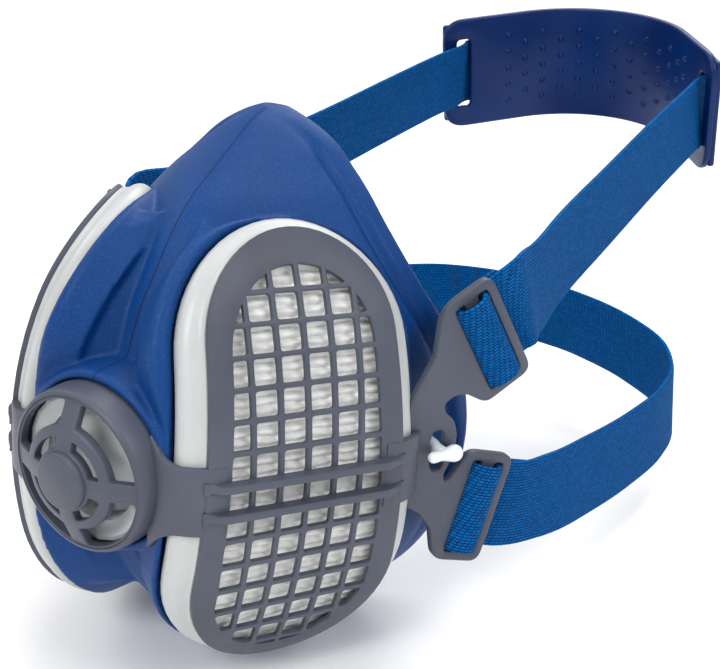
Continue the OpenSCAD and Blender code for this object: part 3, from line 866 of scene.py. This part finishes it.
def filter_media(side):
    """Pleated sheet: three rounded pleats with sharp valleys behind each row of the grille."""
    pleat, columns, grow = CELL_H / 3, 26, -1.9
    low, high = BOTTOM_Y - BOTTOM_R - grow + 0.3, TOP_Y + TOP_R + grow - 0.3
    rows = int((high - low) / pleat * 8)
    shell = Shell()
    front, back = [], []
    for i in range(rows + 1):
        y = low + (high - low) * i / rows
        half = egg_half_width(y, grow)
        for j in range(columns + 1):
            x = half * (2 * j / columns - 1)
            sway = 0.22 * math.sin(0.45 * x + 0.35 * y) + 0.18 * math.sin(0.37 * x - 1.3 * y)
            fold = 1 - abs(math.cos(math.pi * y / pleat + sway))
            depth = 2.3 + 1.3 * fold + 0.16 * math.sin(0.9 * x + 0.5 * y)
            front.append(on_filter(x, y, depth))
            back.append(on_filter(x, y, CASE_BACK - 0.3))
    width = columns + 1
    quads = [(i * width + j, i * width + j + 1, (i + 1) * width + j + 1, (i + 1) * width + j)
             for i in range(rows) for j in range(columns)]
    count = len(front)
    edge = (list(range(columns)) + [i * width + columns for i in range(rows)]
            + [rows * width + j for j in range(columns, 0, -1)] + [i * width for i in range(rows, 0, -1)])
    walls = [(edge[k - 1], edge[k], edge[k] + count, edge[k - 1] + count) for k in range(len(edge))]
    shell.add(front + back, quads + [tuple(count + k for k in q[::-1]) for q in quads] + walls)
    piece = shell.make(f"{side}_filter_media_looks", side, sharp=60)
    finish_piece(piece, "filter_paper", "mask", [f"{side}_filter_media"])


# ---- Frame ----

def sector(r_in, r_out, gap, steps=14):
    """One window of the valve cover: a ring sector that leaves half a spoke free on each side."""
    a_in, a_out = math.degrees(math.asin(gap / r_in)), math.degrees(math.asin(gap / r_out))
    return rounded(arc(0, 0, r_out, a_out, 90 - a_out, steps) + arc(0, 0, r_in, 90 - a_in, a_in, steps), 0.9)


def rotated(points, angle):
    c, s = math.cos(math.radians(angle)), math.sin(math.radians(angle))
    return [(x * c - y * s, x * s + y * c) for x, y in points]


def valve_cover(shell):
    """The domed cover with its windows, its side wall and its hub."""
    quarter = (sector(11.4, 16.2, 2.2), sector(6.9, 9.2, 2.1))
    windows = [rotated(w, a) for a in (0, 90, 180, 270) for w in quarter]
    shell.plate(ring_outline(17.3), windows, 2.2, 0.35, on_valve)
    shell.lathe([(17.0, 75.3), (17.6, 75.0), (18.0, 74.2), (18.2, 72), (18.3, 65), (17.3, 65), (16.9, 72),
                 (16.6, 74.8)], forward)
    shell.lathe([(0.01, 80.1), (0.01, 80.6), (5.7, 80.5), (6.1, 80.3), (6.3, 79.9), (6.3, 79.2),
                 (0.01, 79.2)], forward)


def valve_seat():
    """Clear sleeve with a spider, and the faceted skirt that shows behind the cover's windows."""
    shell = Shell()
    shell.lathe([(11.9, 58), (11.9, 69.7), (12.2, 70), (13.2, 70), (13.5, 69.7), (13.5, 58)], forward)
    shell.lathe([(9.6, 64.5), (9.6, 66), (12.1, 66), (12.1, 64.5)], forward)
    shell.lathe([(1.6, 62), (1.6, 66), (3.2, 66), (3.2, 62)], forward)
    for angle in range(45, 405, 60):
        ends = [[rotated([(r, side)], angle)[0] for side in (-0.6, 0.6)] for r in (2.8, 10.2)]
        shell.loft([[forward(*p, y) for p, y in ((a, 63.5), (b, 63.5), (b, 65.5), (a, 65.5))]
                    for a, b in ends], caps=True)
    shell.lathe([(13.3, 68.6), (12.2, 69.8), (12.2, 71.2), (15.6, 72.2), (16.4, 72), (16.4, 71.2),
                 (13.3, 67.8)], forward, SKIRT_FACETS)
    piece = shell.make("exhale_valve_seat_looks", sharp=12)
    finish_piece(piece, "clear_plastic", "mask", ["exhale_valve_seat"])


def strip(shell, path, heights, thickness, edge=0.5):
    """A band along a path in the filter's level plane: (x, z) points, with a height range at each."""
    path = np.array(path, float)
    ways = np.gradient(path, axis=0)
    ways /= np.linalg.norm(ways, axis=1)[:, None]
    rings = []
    for (x, z), (dx, dz), (low, high) in zip(path, ways, heights):
        out = (-dz, dx)
        ring = []
        for y, depth in ((low + edge, 0), (high - edge, 0), (high - edge * 0.3, edge * 0.3), (high, edge),
                         (high, thickness - edge), (high - edge, thickness), (low + edge, thickness),
                         (low, thickness - edge), (low, edge), (low + edge * 0.3, edge * 0.3)):
            ring.append(on_filter_flat(x - out[0] * depth, y, z - out[1] * depth))
        rings.append(ring)
    shell.loft(rings, caps=True)


def bands(shell):
    half = BAND_H / 2
    """The band from the valve cover to the filter and on to the anchor plate, with two ribs between."""
    front = spline([(-31.6, -9.6), (-30.7, -6.5), (-28.6, -3.6), (-25.4, -1.3), (-22, -0.1),
                    (-18.6, 0.05)], 8)
    flare = [max(0, 1 - i / 20) ** 2 * 5 for i in range(len(front))]
    strip(shell, front, [(-half - f, half + f) for f in flare], 1.8)
    back = spline([(18.6, 0.05), (22, -0.1), (25.6, -1.3), (28.4, -3.2), (30.2, -5.8), (30.6, -9)], 8)
    strip(shell, back, [(-half, half)] * len(back), 1.8)
    for y in (-CELL_H / 2, CELL_H / 2):
        rib(shell, y)


def rib(shell, y):
    """A low rib over the grille with a pointed, spreading end on each side."""
    rings = []
    for x in np.linspace(-RIB_HALF, RIB_HALF, 61):
        from_end = RIB_HALF - abs(x)
        height = 2.1 * min(1, from_end / 5) ** 0.8
        foot = 0.9 + 0.5 * max(0, 1 - from_end / 3)
        crest = max(0.35, 0.55 * min(1, from_end / 3) + 0.3)
        half = [(foot, -0.5), (foot, 0.15 + 0.1 * height), (crest, height - 0.12), (crest * 0.5, height)]
        section = [(y - out, z) for out, z in half] + [(y + out, z) for out, z in half[::-1]]
        rings.append([on_filter_flat(x, *p) for p in section[::-1]])
    shell.loft(rings, caps=True)


def pad(bar):
    """The four corners of the pad round a strap bar."""
    return [bar_point(bar, across * PAD_W / 2, along * PAD_L / 2)
            for across, along in ((-1, -1), (1, -1), (1, 1), (-1, 1))]


def plate_outline():
    notch = [(3.6, -7.6), (1.9, -8.6), (1.4, -6.5), (3.9, -2), (4.4, 3), (3.6, 6.7), (0.9, 9.2),
             (0.6, 11.2), (3.5, 13), (6.6, 12.4)]
    corners = ([(-8.6, -12), (-4, -15.5), (-1.2, -20)] + pad(LOWER_BAR) + notch + pad(UPPER_BAR)
               + [(-2.4, 23), (-5.5, 17.5), (-8.6, 12.5)])
    radii = [1, 2, 2, 3, 3, 3, 3, 1.5, 1.2, 2, 3, 3, 3, 1.5, 1.5, 2, 2, 2, 3, 3, 4, 3, 3, 1]
    return rounded(corners, radii, 5)


def plate_holes():
    holes = []
    for bar in (UPPER_BAR, LOWER_BAR):
        for side in (-1, 1):
            middle = side * (BAR_HALF + SLOT_W / 2)
            box = [bar_point(bar, middle + sx * SLOT_W / 2, sy * SLOT_L / 2)
                   for sx, sy in ((-1, -1), (1, -1), (1, 1), (-1, 1))]
            holes.append(rounded(box, 0.8))
    keyhole = (arc(0, 0, 2.1, -50, 50, 8) + [(1.1, 3.4), (0.4, 5), (-1.8, 5), (-2.7, 2.4)]
               + [(-2.7, -2.4), (-1.8, -5), (0.4, -5), (1.1, -3.4)])
    return holes + [rounded(keyhole, 0.7)]


def frame_looks():
    shell = Shell()
    bands(shell)
    shell.plate(plate_outline(), plate_holes(), PLATE_T, 0.45, on_plate)
    shell.mirrored()
    valve_cover(shell)
    piece = shell.make("exoskeleton_frame_looks")
    finish_piece(piece, "grey_plastic", "mask", ["exoskeleton_frame"])


# ---- Toggles ----

def toggle(side):
    """A peg with a crossbar: one round end and one smaller one, on a stem with a flange."""
    shell = Shell()
    profile = [(-4.3, 0.01), (-4.2, 0.7), (-3.7, 1.15), (-2.8, 1.3), (-1.6, 1.15), (-0.6, 1.25), (0.6, 1.6),
               (2.0, 1.95), (3.0, 1.85), (3.8, 1.3), (4.15, 0.6), (4.2, 0.01)]
    around = np.linspace(0, 2 * math.pi, 25)[:-1]
    shell.loft([[on_plate(x, r * math.cos(a), -2.3 - r * math.sin(a)) for a in around]
                for x, r in spline(profile, 3)], caps=True)
    stem = [(1.5, -1.4), (1.35, 0.6), (1.6, 3), (1.6, 14.2), (3.2, 14.4), (3.6, 14.8), (3.2, 15.2),
            (0.01, 15.2)]
    shell.loft([[on_plate(r * math.cos(a), r * math.sin(a), depth) for a in around] for r, depth in stem],
               caps=True)
    piece = shell.make(f"{side}_toggle_looks", side)
    finish_piece(piece, "white_nylon", f"{side}_toggle_peg", [f"{side}_toggle"])


# ---- Cradle and straps ----

def head_cradle():
    shell = Shell()
    outline = rounded(box_outline(-CRADLE_HALF, -CRADLE_H / 2, CRADLE_HALF, CRADLE_H / 2), 8, 8)
    slots = [rounded(box_outline(side * CRADLE_SLOT - 2.4, -12, side * CRADLE_SLOT + 2.4, 12), 1.5)
             for side in (-1, 1)]
    shell.plate(dense(outline), [dense(s) for s in slots], CRADLE_T, 0.7, on_cradle)
    for side in (-1, 1):
        rim = [(52, -17), (60.8, -17), (60.8, 17), (52, 17), (52, 12.3), (57, 12.3), (57, -12.3), (52, -12.3)]
        rim = [(side * x, z) for x, z in (rim if side > 0 else rim[::-1])]
        shell.plate(rounded(rim, 1.2), [], 2, 0.7, on_cradle_back)
    for column in range(-6, 7):
        rows = 4 - abs(column) % 2
        for row in range(rows + 1):
            nub(shell, column * NUB_PITCH, (row - rows / 2) * NUB_RISE)
    piece = shell.make("head_cradle_looks")
    finish_piece(piece, "cradle_blue", "head_harness", ["head_cradle"])


def dense(points, step=2.5):
    """The same closed outline with no side longer than a step."""
    result = []
    for a, b in zip(points, points[1:] + points[:1]):
        result += [a] + between(a, b, max(1, int(math.dist(a, b) / step)))
    return result


def nub(shell, x, z):
    levels = [(0.01, -0.95), (0.45, -0.85), (0.75, -0.55), (0.85, -0.2), (1.1, 0), (1.1, 0.4), (0.01, 0.4)]
    shell.loft([[on_cradle(x + r * math.cos(a), z + r * math.sin(a), depth)
                 for a in np.linspace(0, 2 * math.pi, 17)[:-1]] for r, depth in levels], caps=True)


def wrap_path(bar, tail):
    """A strap's way from behind the plate over its bar: each place, with the way along the bar."""
    keys = tail + [(4.6, 5.1), (1.2, 4.4), (-1.6, 3.6), (-3.3, 1.9), (-3.7, 0.2), (-2.6, -1.2), (-0.6, -1.75),
                   (1.6, -1.6), (3.2, -0.5), (3.7, 1.2), (4.8, 2.9), (7.5, 3.7), (11, 3.6)]
    along = (on_bar(bar, 0, 1, 0) - on_bar(bar, 0, 0, 0)).normalized()
    return [(on_bar(bar, across, 0, depth), along) for across, depth in keys]


def route_ups(route, lean, tilt):
    """Which way is up across a strap that stands on its edge, leaning in and, towards its end, back."""
    count = len(route) - 1
    return [Vector((-lean, -math.radians(tilt) * i / count, 1)) for i in range(count + 1)]


def mirrored(points):
    return [(-p[0], p[1], p[2]) for p in points]


def strap(name, bar, tail, route, middle):
    """One band of webbing from the tail behind one plate to the tail behind the other, and its length."""
    start = wrap_path(bar, tail)
    tilt = CRADLE_TILT if middle else 0
    half = [tuple(p) for p, _ in start] + route
    ups = [u if u.z > 0 else -u for _, u in start] + route_ups(route, STRAP_LEAN, tilt)
    rises = [tuple(u.normalized()) for u in ups]
    across = [tuple(Vector((0, -math.radians(tilt), 1)).normalized()) for _ in middle]
    whole = np.hstack([np.array(half + middle + mirrored(half)[::-1]),
                       np.array(rises + across + mirrored(rises)[::-1])])
    curve = spline(whole, STRAP_SAMPLES)
    path, rises = curve[:, :3], curve[:, 3:]
    for _ in range(STRAP_ROUNDS):
        rises[1:-1] = (rises[:-2] + rises[2:]) / 2
    return webbing_mesh(name, path, rises)


def webbing_mesh(name, path, ups):
    """A band with beaded edges swept along a path, and its length. ups says which way its width runs."""
    ways = np.gradient(path, axis=0)
    ways /= np.linalg.norm(ways, axis=1)[:, None]
    ups = ups - ways * np.sum(ups * ways, axis=1)[:, None]
    ups /= np.linalg.norm(ups, axis=1)[:, None]
    outs = np.cross(ways, ups)
    travelled = np.append(0, np.cumsum(np.linalg.norm(np.diff(path, axis=0), axis=1)))
    half, thick = STRAP_W / 2, STRAP_T / 2
    bead = 0.9
    inner = [(half * s, thick) for s in (-0.6, -0.2, 0.2, 0.6)]
    columns = [(-half + bead, thick)] + inner + [(half - bead, thick)]
    section = columns + [(half - 0.25, thick * 0.8), (half, 0), (half - 0.25, -thick * 0.8)]
    section += [(s, -t) for s, t in columns[::-1]] + [(-half + 0.25, -thick * 0.8), (-half, 0),
                                                       (-half + 0.25, thick * 0.8)]
    shell = Shell()
    shell.loft([[p + u * s + o * t for s, t in section] for p, u, o in zip(path, ups, outs)], caps=True)
    mesh = bpy.data.meshes.new(name)
    mesh.from_pydata([tuple(float(c) * MM for c in p) for p in shell.points], [], shell.faces)
    uv = mesh.uv_layers.new(name="UVMap")
    count = len(section)
    for loop in mesh.loops:
        row, column = divmod(loop.vertex_index, count)
        uv.data[loop.index].uv = (section[column][0] + half, travelled[row])
    mesh.shade_smooth()
    mesh.set_sharp_from_angle(angle=math.radians(60))
    obj = bpy.data.objects.new(name, mesh)
    bpy.context.scene.collection.objects.link(obj)
    return obj, float(travelled[-1])


def add_strap(name, bar, tail, route, middle, nodes):
    piece, length = strap(name, bar, tail, route, middle)
    piece.data.materials.append(MATERIALS["blue_webbing"])
    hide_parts(*nodes)
    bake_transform(piece)
    print(name, round(length), "mm long")


def straps():
    outer = CRADLE_T + 0.4 + STRAP_T / 2
    over = [tuple(on_cradle(along, 0, outer)) for along in range(50, -51, -5)]
    add_strap("head_strap_looks", UPPER_BAR, [(10, 5.4)], HEAD_ROUTE, over,
              ["head_strap", "left_head_strap_loop", "right_head_strap_loop"])
    add_strap("neck_strap_looks", LOWER_BAR, [(17, 5.6), (10, 5.4)], NECK_ROUTE + [NECK_BACK], [],
              ["neck_strap", "left_neck_strap_loop", "right_neck_strap_loop"])


face_piece()
valve_seat()
frame_looks()
head_cradle()
straps()
for side in SIDES:
    filter_cover(side)
    filter_case(side)
    filter_media(side)
    toggle(side)
